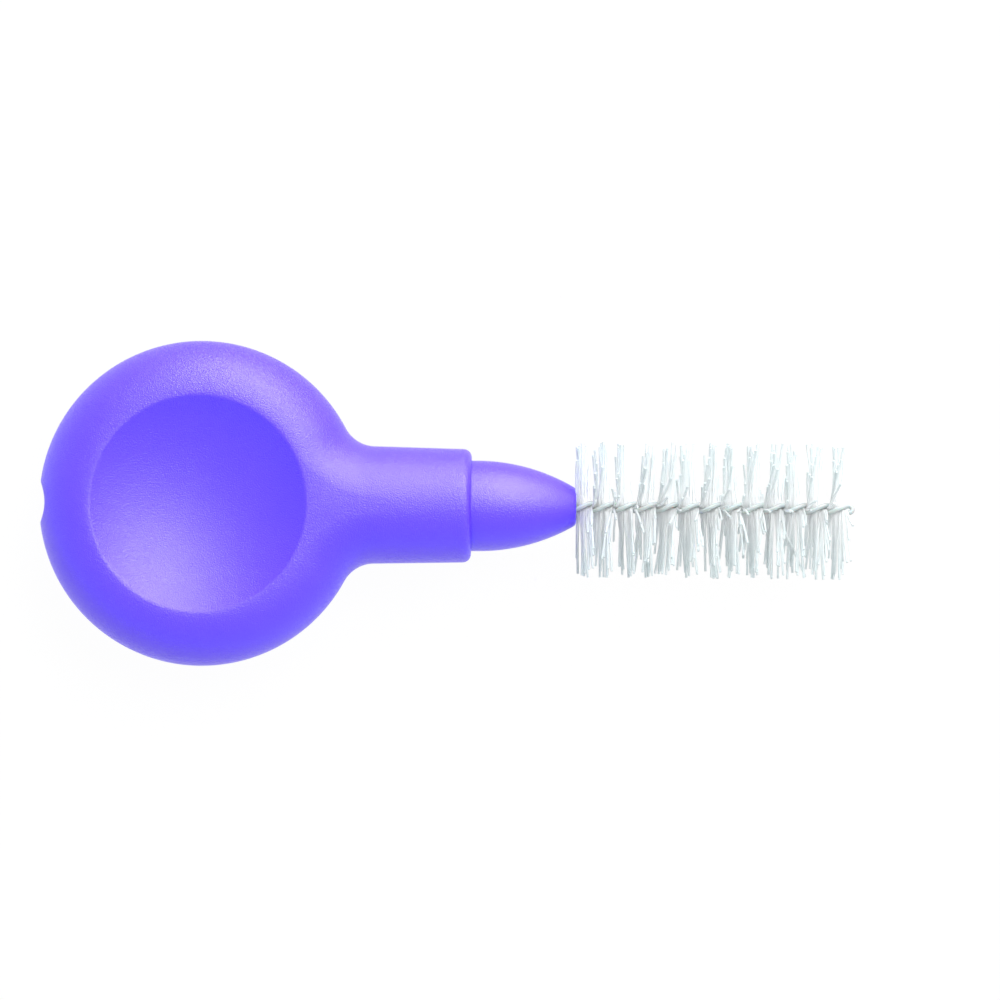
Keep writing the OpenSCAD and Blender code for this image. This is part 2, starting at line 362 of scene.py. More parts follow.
# %% [markdown]
# ## The grip as one skin
# The arcs are knitted to each other and to the sleeve. What is left open on each side is the
# crest, a flat face whose outer border is the row of crest points and whose hole is the mouth.

# %% Skin of the grip
def grip_skin():
    """Edge, sleeve, dimples and crests of the grip."""
    bm = bmesh.new()
    arcs = [add(bm, section(place, away, RIM_R)) for place, away in stations]
    for a, b in zip(arcs, arcs[1:]):
        join(bm, a, b)
    add_sleeve(bm, arcs[0], arcs[-1])
    for level, crest in ((1, -1), (-1, 0)):
        mouth = add_dimple(bm, level)
        border = ring_edges(bm, [arc[crest] for arc in arcs]) + ring_edges(bm, mouth)
        bmesh.ops.triangle_fill(bm, edges=border, use_beauty=True, normal=(0, 0, level))
    return bm


grip = closed_object(grip_skin(), "soft_grip")
print("grip:", len(grip.data.polygons), "faces, open edges", open_edges(grip))

# %% [markdown]
# ## The hard core
# The core is turned round the axis: a short straight seat, a long arc that narrows to the tip
# with a hole for the wire, and inside the grip a stem with three rings. A spin of a profile gives
# all of that. The flat paddle with its holes lies across the disc and isn't round, so it is a
# plate that is joined to the stem with a Boolean. None of the inner part shows, but it belongs to
# the piece.

# %% Core sizes
NOSE_R = 2.66  # at the shoulder
NOSE_LEN = core_high.x
SEAT_LEN = 0.4  # straight length in front of the shoulder
NOSE_TIP_R = 1.075
NOSE_EDGE = 0.3  # radius of the rounding at the tip
STEM_R = 2.15
RINGS = 3
RING_R = 2.5
RING_W = 0.7
RING_PITCH = 1.75
RING_FIRST = 1.2  # from the shoulder to the first ring
WIRE_HOLE_R = 0.38
WIRE_HOLE_END = -0.38  # the hole reaches a little past the shoulder
PADDLE_T = 1.2
PADDLE_W = core_high.y - core_low.y
FLOW_R = 1  # of the holes in the paddle
FLOW_PITCH = 2.4
SWEEP_POINTS = 40
NOSE_EDGE_STEPS = 8
STEM_END = DISC_X + MOUTH_R * BOWL_R / REACH_R
CONE_END = DISC_X + 2 * FLOW_R  # where the stem has narrowed to the paddle
print("stem back to x", round(STEM_END, 2), "mm, paddle back to x", round(core_low.x, 2), "mm")

# %% [markdown]
# ## Half outlines of the nose and the stem
# A half outline is a row of points that leaves the axis and comes back to it. The long arc of the
# nose is tangent to the straight seat, and the rounding at the tip is tangent to the arc.

# %% Core profiles
def stem_profile(start):
    """Half outline of the stem with its rings, from x = start down to the paddle."""
    points = [(start, STEM_R)]
    for i in range(RINGS):
        front = -RING_FIRST - i * RING_PITCH
        back = front - RING_W
        points += [(front, STEM_R), (front, RING_R), (back, RING_R), (back, STEM_R)]
    return points + [(STEM_END, STEM_R), (CONE_END, PADDLE_T / 2), (CONE_END, 0)]


def nose_profile():
    """Half outline of the nose, from the bottom of the wire hole to the shoulder."""
    length = NOSE_LEN - SEAT_LEN
    drop = NOSE_R - NOSE_TIP_R
    sweep = (length ** 2 + drop ** 2) / (2 * drop)
    edge_x = NOSE_LEN - NOSE_EDGE
    edge_r = NOSE_R - sweep + math.sqrt((sweep - NOSE_EDGE) ** 2 - (edge_x - SEAT_LEN) ** 2)
    lean = math.asin((edge_x - SEAT_LEN) / (sweep - NOSE_EDGE))
    points = [(WIRE_HOLE_END, 0), (WIRE_HOLE_END, WIRE_HOLE_R), (NOSE_LEN, WIRE_HOLE_R)]
    for turn in np.linspace(math.pi / 2, lean, NOSE_EDGE_STEPS + 1):
        points.append((edge_x + NOSE_EDGE * math.sin(turn), edge_r + NOSE_EDGE * math.cos(turn)))
    for turn in np.linspace(lean, 0, SWEEP_POINTS)[1:]:
        points.append((SEAT_LEN + sweep * math.sin(turn), NOSE_R - sweep + sweep * math.cos(turn)))
    return points + [(0, NOSE_R)]


print("points in the nose profile:", len(nose_profile()))
print("points in the stem profile:", len(stem_profile(0)))

# %% [markdown]
# ## Spin and Boolean
# A spin makes the turned part. The Boolean modifier joins the paddle to it, and cuts the same
# shape out of the grip, so that the soft part closes round the core as in the real moulding. Both
# are applied at once, because a cutter is only a tool and must not stay in the scene.

# %% Turned part and Boolean
SPIN_STEPS = 144


def spun(name, profile):
    """The half outline turned once round the X axis, as a closed object."""
    bm = bmesh.new()
    verts = [bm.verts.new(Vector((x, 0, r)) * MM) for x, r in profile]
    edges = [bm.edges.new(pair) for pair in zip(verts, verts[1:])]
    turn = {"cent": (0, 0, 0), "axis": (1, 0, 0), "angle": 2 * math.pi, "steps": SPIN_STEPS}
    bmesh.ops.spin(bm, geom=verts + edges, use_merge=True, **turn)
    return closed_object(bm, name)


def applied(made):
    """The object with its modifiers worked into its mesh."""
    graph = bpy.context.evaluated_depsgraph_get()
    mesh = bpy.data.meshes.new_from_object(made.evaluated_get(graph))
    made.modifiers.clear()
    made.data = mesh
    return made


def boolean(made, tool, operation):
    """Joins the tool to the object, or cuts it out."""
    step = made.modifiers.new("shape", "BOOLEAN")
    step.operation = operation
    step.solver = "EXACT"
    step.object = tool
    applied(made)
    shade(made)
    return made


print("a spin takes", SPIN_STEPS, "steps")

# %% [markdown]
# ## The paddle
# The outline of the plate and its three holes are rings of edges in one plane. A triangle fill
# closes the plane between them, and an extrusion gives it its thickness. The holes let the soft
# plastic flow through and grip the core from both sides.

# %% Paddle
PADDLE_END_STEPS = 32
FLOW_STEPS = 32


def arc_points(x, y, radius, angles):
    """Points on a circle in the plane of the plate's lower face."""
    return [(x + radius * math.cos(a), y + radius * math.sin(a), -PADDLE_T / 2) for a in angles]


def paddle():
    """The flat plate inside the disc, round at both ends, with three holes across it."""
    radius = PADDLE_W / 2
    outline = []
    for x, start in ((STEM_END - radius, -math.pi / 2), (core_low.x + radius, math.pi / 2)):
        turns = np.linspace(start, start + math.pi, PADDLE_END_STEPS + 1)
        outline += arc_points(x, 0, radius, turns)
    round_hole = np.linspace(0, 2 * math.pi, FLOW_STEPS, endpoint=False)
    holes = [arc_points(DISC_X, i * FLOW_PITCH, FLOW_R, round_hole) for i in (-1, 0, 1)]
    bm = bmesh.new()
    edges = []
    for loop in [outline] + holes:
        edges += ring_edges(bm, [bm.verts.new(Vector(p) * MM) for p in loop])
    filled = bmesh.ops.triangle_fill(bm, edges=edges, use_beauty=True)["geom"]
    faces = [g for g in filled if isinstance(g, bmesh.types.BMFace)]
    extruded = bmesh.ops.extrude_face_region(bm, geom=faces, use_keep_orig=True)["geom"]
    moved = [g for g in extruded if isinstance(g, bmesh.types.BMVert)]
    bmesh.ops.translate(bm, verts=moved, vec=Vector((0, 0, PADDLE_T)) * MM)
    return closed_object(bm, "paddle_tool")


plate = paddle()
print("paddle: open edges", open_edges(plate))

# %% [markdown]
# ## Join and cut
# The same two shapes serve twice. Joined to the turned part, the paddle completes the core.
# Joined to a stem that runs on a little past the mouth of the sleeve, it becomes the cutter for
# the hole in the grip. The stem runs on because a cutter that ends exactly at a face can leave a
# thin skin there.

# %% Core and cavity
OVERRUN = 0.5
core = boolean(spun("hard_core", nose_profile() + stem_profile(0)), plate, "UNION")
stem_tool = spun("stem_tool", [(OVERRUN, 0)] + stem_profile(OVERRUN))
boolean(grip, boolean(stem_tool, plate, "UNION"), "DIFFERENCE")
for tool in (plate, stem_tool):
    bpy.data.objects.remove(tool)
print("core: open edges", open_edges(core), "grip: open edges", open_edges(grip))

# %% [markdown]
# ## The folded and twisted wire
# One wire is folded in half at the tip of the brush, and its two legs are twisted together with
# the filaments between them. Its middle line follows a rule: each leg is a helix, and a half
# circle joins them at the fold. The line is here for the coat. The bare wire inside it keeps its
# own node of the model.

# %% Wire path
COAT_R = 0.15  # outside of the coat
COAT_WALL = 0.036
LEG_R = 0.20  # from the axis to the middle of a leg
LEAD = 2.504  # length of one full turn
FRONT_CROSS = 0.3  # where a leg first lies in front, from the start of the brush
WIRE_START = -0.35  # near the bottom of its hole in the nose
BRUSH_GAP = 0.05
BRUSH_START = NOSE_LEN + BRUSH_GAP
BRUSH_LEN = 16
BRUSH_END = BRUSH_START + BRUSH_LEN
STEPS_PER_TURN = 28
FOLD_STEPS = 14


def twist(x):
    """Angle of the first leg at x: left-handed, in front of the axis where it first crosses it."""
    return math.pi / 2 - 2 * math.pi * (x - BRUSH_START - FRONT_CROSS) / LEAD


def ray(angle):
    """The direction that looks away from the axis at this angle."""
    return Vector((0, math.cos(angle), math.sin(angle)))


def wire_line():
    """Points along one leg, round the fold at the tip and back along the other leg."""
    steps = math.ceil((BRUSH_END - WIRE_START) / LEAD * STEPS_PER_TURN)
    places = np.linspace(WIRE_START, BRUSH_END, steps + 1)
    first = [Vector((x, 0, 0)) + LEG_R * ray(twist(x)) for x in places]
    second = [Vector((x, 0, 0)) - LEG_R * ray(twist(x)) for x in reversed(places)]
    turns = np.linspace(0, math.pi, FOLD_STEPS + 1)[1:-1]
    out = ray(twist(BRUSH_END))
    ahead = Vector((1, 0, 0))
    fold = [BRUSH_END * ahead + LEG_R * (math.sin(t) * ahead + math.cos(t) * out) for t in turns]
    return first + fold + second


print("points on the wire's line:", len(wire_line()))

# %% [markdown]
# ## Helpers for node trees
# A node tree that a script builds is easier to read when a node takes one line. So one helper
# adds a node, sets its options and links or fills its inputs.

# %% Node helpers
def link(tree, value, socket):
    """Puts a value into an input, or links it if the value is an output of another node."""
    if isinstance(value, bpy.types.NodeSocket):
        tree.links.new(value, socket)
    else:
        socket.default_value = value


def node(tree, kind, inputs=None, **options):
    """A new node with its options set and its inputs filled, by name or by number."""
    made = tree.nodes.new(kind)
    for name, value in options.items():
        setattr(made, name, value)
    for name, value in (inputs or {}).items():
        link(tree, value, made.inputs[name])
    return made


def math_node(tree, operation, *values):
    """The result of one sum."""
    made = node(tree, "ShaderNodeMath", operation=operation)
    for value, socket in zip(values, made.inputs):
        link(tree, value, socket)
    return made.outputs[0]


print("node helpers ready")

# %% [markdown]
# ## Helpers for whole trees
# One helper makes a new tree with named inputs. The other puts a tree on an object as a modifier
# and sets those inputs by their identifiers.

# %% Tree helpers
def new_tree(name, sockets):
    """A geometry tree with named inputs, and its input and output nodes."""
    tree = bpy.data.node_groups.new(name, "GeometryNodeTree")
    tree.interface.new_socket("Geometry", in_out="INPUT", socket_type="NodeSocketGeometry")
    for label, kind in sockets.items():
        tree.interface.new_socket(label, in_out="INPUT", socket_type=kind)
    tree.interface.new_socket("Geometry", in_out="OUTPUT", socket_type="NodeSocketGeometry")
    given = tree.nodes.new("NodeGroupInput").outputs
    return tree, given, tree.nodes.new("NodeGroupOutput").inputs


def run_tree(made, tree, values):
    """Puts a tree on the object as a modifier, with these input values."""
    step = made.modifiers.new(tree.name, "NODES")
    step.node_group = tree
    for item in tree.interface.items_tree:
        if item.in_out == "INPUT" and item.name in values:
            step[item.identifier] = values[item.name]


print("tree helpers ready")

# %% [markdown]
# ## A tube along a line
# The first tree is short. It turns the edges of a mesh into a curve, carries a circle along it,
# and ends, as each tree here does, in Realize Instances and Set Material, so that the result is
# plain mesh.

# %% Tube tree
def tube_tree():
    """A round tube along the object's edges."""
    tree, given, result = new_tree("tube along a line", {
        "Radius": "NodeSocketFloat",
        "Sides": "NodeSocketInt",
        "Finish": "NodeSocketMaterial",
    })
    line = node(tree, "GeometryNodeMeshToCurve", {"Mesh": given["Geometry"]})
    ring = node(tree, "GeometryNodeCurvePrimitiveCircle", {
        "Resolution": given["Sides"], "Radius": given["Radius"]})
    tube = node(tree, "GeometryNodeCurveToMesh", {
        "Curve": line.outputs[0], "Profile Curve": ring.outputs[0]})
    smooth = node(tree, "GeometryNodeSetShadeSmooth", {"Geometry": tube.outputs[0]})
    plain = node(tree, "GeometryNodeRealizeInstances", {"Geometry": smooth.outputs[0]})
    painted = node(tree, "GeometryNodeSetMaterial", {
        "Geometry": plain.outputs[0], "Material": given["Finish"]})
    tree.links.new(painted.outputs[0], result["Geometry"])
    return tree


tubes = tube_tree()
named = [item.name for item in tubes.interface.items_tree if item.in_out == "INPUT"]
print("inputs of the tube tree:", named)

# %% [markdown]
# ## Finishes
# Every finish starts from the Principled shader. Numbers that are the same all over a piece sit
# on the shader's own sockets, and patterns are linked to the others.

# %% Material helpers
def new_material(name, **settings):
    """A material with one Principled shader, its tree and the shader's inputs."""
    made = bpy.data.materials.new(name)
    made.use_nodes = True
    tree = made.node_tree
    tree.nodes.clear()
    shader = node(tree, "ShaderNodeBsdfPrincipled")
    output = node(tree, "ShaderNodeOutputMaterial")
    tree.links.new(shader.outputs[0], output.inputs["Surface"])
    for label, value in settings.items():
        shader.inputs[label.replace("_", " ")].default_value = value
    return made, tree, shader.inputs


def dress(tree, inputs, **patterns):
    """Links a pattern to each named input of the shader."""
    for label, pattern in patterns.items():
        tree.links.new(pattern, inputs[label.replace("_", " ")])


print("material helpers ready")

# %% [markdown]
# ## Patterns
# Patterns read Object coordinates, so they stay on the piece wherever the camera stands. A
# pattern's size is written in millimetres and turned into the scale of a noise.

# %% Patterns
def grain(tree, size):
    """A noise whose lumps are about this many millimetres across."""
    place = node(tree, "ShaderNodeTexCoord").outputs["Object"]
    made = node(tree, "ShaderNodeTexNoise", {"Vector": place, "Scale": 1 / (size * MM)})
    return made.outputs["Fac"]


def between(tree, share, low, high):
    """The share from 0 to 1, spread between two numbers."""
    made = node(tree, "ShaderNodeMapRange", {"Value": share, "To Min": low, "To Max": high})
    return made.outputs[0]


def two_tone(tree, share, first, second):
    """A colour between two, by a share from 0 to 1."""
    made = node(tree, "ShaderNodeMix", {0: share, 6: (*first, 1), 7: (*second, 1)},
                data_type="RGBA", clamp_factor=True)
    return made.outputs[2]


def raised(tree, height, depth, below=None):
    """A bump of this many millimetres, on top of another bump if one is given."""
    made = node(tree, "ShaderNodeBump", {"Height": height, "Distance": depth * MM, "Strength": 1.0})
    if below is not None:
        tree.links.new(below, made.inputs["Normal"])
    return made.outputs[0]


print("patterns ready")

# %% [markdown]
# ## Violet elastomer and violet core
# The grip is a dense violet elastomer from a spark-eroded mould: matt, with a fine grain that
# glitters only where the light grazes it, and a little light that wanders inside. A flat colour
# would look like paint, so two near tones drift through it, the roughness changes a little, and
# two bumps make the grain. The core is the same violet in a hard plastic, with a shallower grain
# and a slightly tighter gloss.

# %% Violet finishes
VIOLET = (0.085, 0.02, 1.0)
VIOLET_DEEP = (0.07, 0.014, 0.97)
DRIFT_SIZE = 4
GLOSS_SIZE = 0.15
PEEL_SIZE, PEEL_DEPTH = 0.6, 0.004
GRAIN_SIZE = 0.075


def violet(name, rough, grain_depth, scatter):
    """A violet plastic with this roughness, depth of grain and share of light inside."""
    made, tree, inputs = new_material(
        name, Specular_IOR_Level=0.9, IOR=1.5, Subsurface_Weight=scatter,
        Subsurface_Scale=1 * MM, Subsurface_Radius=(0.4, 0.3, 1.0),
        Coat_Weight=0.3, Coat_Roughness=0.5)
    peel = raised(tree, grain(tree, PEEL_SIZE), PEEL_DEPTH)
    dress(
        tree, inputs,
        Base_Color=two_tone(tree, grain(tree, DRIFT_SIZE), VIOLET, VIOLET_DEEP),
        Roughness=between(tree, grain(tree, GLOSS_SIZE), low=rough - 0.1, high=rough + 0.08),
        Normal=raised(tree, grain(tree, GRAIN_SIZE), grain_depth, below=peel))
    return made


elastomer = violet("violet_elastomer", rough=0.35, grain_depth=0.045, scatter=0.15)
hard_violet = violet("violet_hard_plastic", rough=0.34, grain_depth=0.036, scatter=0.1)
print("made", elastomer.name, "and", hard_violet.name)

# %% [markdown]
# ## Nylon
# The filaments are nylon, clear but too rough to see an image through. About half of the light
# that meets one goes through it, which fills the brush with a pale haze. The rest lights a body
# whose colour is painted light: nearly white at the wire, to lift the shade where the dense
# filaments hide each other, and a cooler grey towards the tips.
# The IOR is kept low, because a real one would trap the light among several hundred rods and turn
# the brush dark.

# %% Nylon finish
ROOT_R = 0.4
BRUSH_R = 4.0
# The root tone is painted light: near-white at the wire, against the shade among the dense
# filaments.
NYLON_ROOT_PAINTED_LIGHT, NYLON_TIP = (0.97, 0.985, 0.99), (0.68, 0.75, 0.76)
FINE_BUMP = 0.002


def from_axis(tree):
    """Distance of a point from the X axis."""
    place = node(tree, "ShaderNodeTexCoord").outputs["Object"]
    split = node(tree, "ShaderNodeSeparateXYZ", {"Vector": place}).outputs
    squares = [math_node(tree, "MULTIPLY", side, side) for side in (split[1], split[2])]
    return math_node(tree, "SQRT", math_node(tree, "ADD", *squares))


def nylon():
    """Painted light: paler at the wire to lift the shade of the dense roots, greyer at the tips."""
    made, tree, inputs = new_material(
        "clear_nylon", IOR=1.1, Specular_IOR_Level=0.3, Transmission_Weight=0.48,
        Subsurface_Weight=0.3, Subsurface_Scale=0.2 * MM, Subsurface_Radius=(1, 1, 1))
    # Painted light: the colour runs from the lifted root tone at the axis to the grey tip tone,
    # broken by random patches.
    share = node(tree, "ShaderNodeMapRange", {
        "Value": from_axis(tree), "From Min": ROOT_R * MM, "From Max": BRUSH_R * MM})
    patches = between(tree, grain(tree, size=0.4), low=0.4, high=1.4)
    uneven = math_node(tree, "MULTIPLY", share.outputs[0], patches)
    dress(
        tree, inputs,
        Base_Color=two_tone(tree, uneven, NYLON_ROOT_PAINTED_LIGHT, NYLON_TIP),
        Roughness=between(tree, grain(tree, size=0.1), low=0.9, high=1.0),
        Normal=raised(tree, grain(tree, size=0.05), FINE_BUMP))
    return made


clear_nylon = nylon()
print("made", clear_nylon.name)

# %% [markdown]
# ## Coat and steel
# The coat is a milky plastic with a soft shine, and the steel inside it shows only at a cut.

# %% Coat and steel finishes
COAT_DARK, COAT_PALE = (0.38, 0.42, 0.42), (0.48, 0.53, 0.53)
STEEL_DARK, STEEL_PALE = (0.60, 0.60, 0.62), (0.70, 0.70, 0.71)


def milky_coat():
    """The plastic on the wire."""
    made, tree, inputs = new_material(
        "milky_coat", IOR=1.5, Specular_IOR_Level=0.5,
        Subsurface_Weight=0.2, Subsurface_Scale=0.2 * MM)
    dress(
        tree, inputs,
        Base_Color=two_tone(tree, grain(tree, size=0.5), COAT_DARK, COAT_PALE),
        Roughness=between(tree, grain(tree, size=0.2), low=0.25, high=0.4),
        Normal=raised(tree, grain(tree, size=0.08), FINE_BUMP))
    return made


def drawn_steel():
    """The wire itself."""
    made, tree, inputs = new_material("drawn_steel", Metallic=1.0, IOR=2.5)
    dress(
        tree, inputs,
        Base_Color=two_tone(tree, grain(tree, size=0.3), STEEL_DARK, STEEL_PALE),
        Roughness=between(tree, grain(tree, size=0.05), low=0.25, high=0.4))
    return made


coat_finish = milky_coat()
steel = drawn_steel()
print("made", coat_finish.name, "and", steel.name)

# %% [markdown]
# ## The coat
# The coat's middle line is the wire's line, so the two can't drift apart. The tube tree gives the
# outer skin, and Solidify thickens it inwards to a hollow coat.

# %% Coat
COAT_SIDES = 16


def hollow_coat():
    """A tube along the wire's line, with a wall."""
    line = wire_line()
    made = mesh_object("wire_coat", line, [(i, i + 1) for i in range(len(line) - 1)], [])
    run_tree(made, tubes, {"Radius": COAT_R * MM, "Sides": COAT_SIDES, "Finish": coat_finish})
    thick = made.modifiers.new("wall", "SOLIDIFY")
    thick.thickness = COAT_WALL * MM
    thick.offset = -1
    return applied(made)


coat = hollow_coat()
print("coat:", len(coat.data.polygons), "faces, open edges", open_edges(coat))

# %% [markdown]
# ## The filaments
# Each filament leaves the twist square to the wires, so its direction turns with the helix. Seen
# from one side the brush shows a column of filaments for every half turn. Placing several hundred
# by hand is hopeless and a hair system is heavy, so a node tree does it: points along the axis,
# an angle for each point from the twist, a little chance in angle, lean and length, and one thin
# bent rod as the instance. The small parts of the tree come first: a random number, one bent rod
# and a turn about an axis.

# %% One filament
ROD_STEPS = 3
ROD_SIDES = 6


def random_value(tree, low, high, seed, index):
    """A random number between two, the same each time for the same seed and index."""
    made = node(tree, "FunctionNodeRandomValue", {2: low, 3: high, "ID": index, "Seed": seed},
                data_type="FLOAT")
    return made.outputs[1]


def rod(tree, thickness, bow):
    """One filament of unit length along Z, slightly bent."""
    line = node(tree, "GeometryNodeCurveQuadraticBezier", {
        "Resolution": ROD_STEPS, "Start": (0, 0, 0), "End": (0, 0, 1)})
    middle = node(tree, "ShaderNodeCombineXYZ", {"X": bow, "Z": 0.5})
    tree.links.new(middle.outputs[0], line.inputs["Middle"])
    ring = node(tree, "GeometryNodeCurvePrimitiveCircle", {
        "Resolution": ROD_SIDES, "Radius": math_node(tree, "MULTIPLY", thickness, 0.5)})
    made = node(tree, "GeometryNodeCurveToMesh", {
        "Curve": line.outputs[0], "Profile Curve": ring.outputs[0], "Fill Caps": True})
    return made.outputs[0]


def turn_about(tree, rotation, axis, angle):
    """A rotation followed by a turn about an axis of the frame."""
    by = node(tree, "FunctionNodeAxisAngleToRotation", {"Axis": axis, "Angle": angle})
    made = node(tree, "FunctionNodeRotateRotation", {
        "Rotation": rotation, "Rotate By": by.outputs[0]}, rotation_space="GLOBAL")
    return made.outputs[0]


print("a rod has", ROD_SIDES, "sides")

# %% [markdown]
# ## Where the filaments stand and how they point
# Even points belong to one side of the twist and odd points to the other. A point's place along
# the axis gives the angle of the twist there. Half turns of the helix are tufts: the filaments of
# one are gathered towards its middle, share one lean, and its outer ones lean in.

# %% Places and angles
OTHER_SIDE = 50  # keeps the tufts of the two sides apart when their leans are drawn
STRAY_LEAN = 0.5  # in radians, the most that a stray filament leans


def on_twist(sums, chance, given, index):
    """The side of each filament, its distance from the start of the bed and its angle there."""
    side = sums("MODULO", index, 2)
    order = sums("FLOOR", sums("DIVIDE", index, 2))
    to_a_side = sums("DIVIDE", given["Filaments"], 2)
    share = sums("DIVIDE", sums("ADD", order, chance(0, 1, 1)), to_a_side)
    along = sums("MULTIPLY", share, given["Length"])
    turned = sums("MULTIPLY", sums("DIVIDE", along, given["Lead"]), 2 * math.pi)
    angle = sums("SUBTRACT", given["First Angle"], turned)
    return side, along, sums("ADD", angle, sums("MULTIPLY", side, math.pi))


def in_tufts(sums, chance, given, side, angle):
    """The angle round the axis and the lean along it, once gathered into tufts."""
    half_turn = sums("ROUND", sums("DIVIDE", angle, math.pi))
    middle = sums("MULTIPLY", half_turn, math.pi)
    off = sums("SUBTRACT", angle, middle)
    share = sums("DIVIDE", sums("ABSOLUTE", off), math.pi / 2)
    drawn_in = sums("MULTIPLY", sums("POWER", share, given["Gather"]), math.pi / 2)
    gathered = sums("ADD", middle, sums("MULTIPLY", drawn_in, sums("SIGN", off)))
    swung = sums("ADD", gathered, sums("MULTIPLY", given["Swing"], chance(-1, 1, 2)))
    number = sums("ADD", half_turn, sums("MULTIPLY", side, OTHER_SIDE))
    tuft = sums("MULTIPLY", given["Tuft Lean"], chance(-1, 1, 3, number))
    spread = sums("MULTIPLY", given["Lean"], sums("ADD", chance(-1, 1, 4), chance(-1, 1, 5)))
    is_stray = sums("LESS_THAN", chance(0, 1, 6), given["Stray Share"])
    stray = sums("MULTIPLY", is_stray, chance(-STRAY_LEAN, STRAY_LEAN, 7))
    inwards = sums("MULTIPLY", given["Converge"], off)
    return swung, sums("ADD", sums("ADD", tuft, spread), sums("ADD", stray, inwards))


print("a stray filament leans by up to", round(math.degrees(STRAY_LEAN)), "degrees")

# %% [markdown]
# ## Lengths and roots
# The tips are cut a little unevenly, and the circle that they fill lies slightly off the axis. The
# roots lie side by side in a thin bed, as the wire holds them.

# %% Lengths and roots
def cut_length(sums, chance, given, swung, lean):
    """The length of each filament, from the axis to a tip that is cut a little unevenly."""
    shift = sums("MULTIPLY", given["Off Centre"], sums("COSINE", swung))
    cut = sums("MULTIPLY", given["Uneven"], sums("POWER", chance(0, 1, 9), 2))
    reach = sums("SUBTRACT", sums("ADD", given["Reach"], shift), cut)
    return sums("DIVIDE", reach, sums("COSINE", lean))


def roots(tree, sums, chance, given, along, swung):
    """A point for the root of each filament, in a thin bed between the two legs of the wire."""
    layer = sums("MULTIPLY", given["Bed"], chance(-1, 1, 10))
    place = node(tree, "ShaderNodeCombineXYZ", {
        "X": sums("ADD", given["Start"], along),
        "Y": sums("MULTIPLY", layer, sums("SINE", swung)),
        "Z": sums("MULTIPLY", sums("MULTIPLY", layer, -1), sums("COSINE", swung)),
    })
    made = node(tree, "GeometryNodePoints", {
        "Count": given["Filaments"], "Position": place.outputs[0]})
    return made.outputs[0]


print("lengths and roots ready")

# %% [markdown]
# ## The whole tree
# The tree puts one rod on each root: rolled by chance, leaned along the axis, then swung round
# it. Each draw of chance has its own number, which is added to the seed, so that the brush is the
# same each time. The inputs have names, so the brush can be made longer, denser or wilder without
# a look inside.

# %% Filament tree
NUMBERS = ("Start", "Length", "Lead", "First Angle", "Reach", "Uneven", "Off Centre", "Thickness",
           "Bow", "Lean", "Tuft Lean", "Converge", "Swing", "Gather", "Bed", "Stray Share")
FILAMENT_INPUTS = {
    "Filaments": "NodeSocketInt",
    **dict.fromkeys(NUMBERS, "NodeSocketFloat"),
    "Seed": "NodeSocketInt",
    "Finish": "NodeSocketMaterial",
}


def filament_tree():
    """Bent rods that stand on a twist, as plain mesh with its finish."""
    tree, given, result = new_tree("filaments on a twist", FILAMENT_INPUTS)
    index = node(tree, "GeometryNodeInputIndex").outputs[0]

    def sums(operation, *values):
        """The result of one sum in this tree."""
        return math_node(tree, operation, *values)

    def chance(low, high, number, of=index):
        """A draw between two numbers, one for each filament unless it says of what."""
        return random_value(tree, low, high, sums("ADD", given["Seed"], number), of)

    side, along, angle = on_twist(sums, chance, given, index)
    swung, lean = in_tufts(sums, chance, given, side, angle)
    rolled = node(tree, "FunctionNodeAxisAngleToRotation", {
        "Axis": (0, 0, 1), "Angle": chance(0, 2 * math.pi, 8)})
    leaned = turn_about(tree, rolled.outputs[0], (0, 1, 0), lean)
    aimed = turn_about(tree, leaned, (1, 0, 0), sums("SUBTRACT", swung, math.pi / 2))
    stretch = node(tree, "ShaderNodeCombineXYZ", {
        "X": 1, "Y": 1, "Z": cut_length(sums, chance, given, swung, lean)})
    rods = node(tree, "GeometryNodeInstanceOnPoints", {
        "Points": roots(tree, sums, chance, given, along, swung),
        "Instance": rod(tree, given["Thickness"], given["Bow"]),
        "Rotation": aimed, "Scale": stretch.outputs[0]})
    plain = node(tree, "GeometryNodeRealizeInstances", {"Geometry": rods.outputs[0]})
    smooth = node(tree, "GeometryNodeSetShadeSmooth", {"Geometry": plain.outputs[0]})
    painted = node(tree, "GeometryNodeSetMaterial", {
        "Geometry": smooth.outputs[0], "Material": given["Finish"]})
    tree.links.new(painted.outputs[0], result["Geometry"])
    return tree


filament_group = filament_tree()
print("nodes in the filament tree:", len(filament_group.nodes))

# %% [markdown]
# ## Fill the brush
# An object without any points is enough to carry the tree. Lengths go in as metres and angles as
# radians, and the twist of the wire gives the first angle, so that the filaments turn with the
# coat.

# %% Filaments
FILAMENTS = 540
FILAMENT_D = 0.14
BED_MARGIN = 0.12  # the last filaments stay this far from the fold


def filaments():
    """All filaments as one object."""
    made = mesh_object("filaments", [], [], [])
    run_tree(made, filament_group, {
        "Filaments": FILAMENTS,
        "Start": BRUSH_START * MM,
        "Length": (BRUSH_LEN - BED_MARGIN) * MM,
        "Lead": LEAD * MM,
        "First Angle": twist(BRUSH_START) + math.pi / 2,
        "Reach": BRUSH_R * MM,
        "Uneven": 0.85 * MM,
        "Off Centre": -0.17 * MM,
        "Thickness": FILAMENT_D * MM,
        "Bow": 0.10 * MM,
        "Lean": math.radians(3.5),
        "Tuft Lean": math.radians(3),
        "Converge": 0.015,
        "Swing": math.radians(9),
        "Gather": 1.4,
        "Bed": 0.05 * MM,
        "Stray Share": 0.005,
        "Seed": 12,
        "Finish": clear_nylon,
    })
    return applied(made)


brush = filaments()
print("filaments:", len(brush.data.polygons), "faces, open edges", open_edges(brush))

# %% [markdown]
# ## Give each piece its finish and its place in the frame
# Each new piece stands for its node of the model, which is hidden, and rides on the one body
# there is. The steel wire keeps its own node: it is hidden in the coat, and its shape is right.

# %% Finishes and frame calls
def paint(made, finish):
    """The finish as the object's only material."""
    made.data.materials.clear()
    made.data.materials.append(finish)


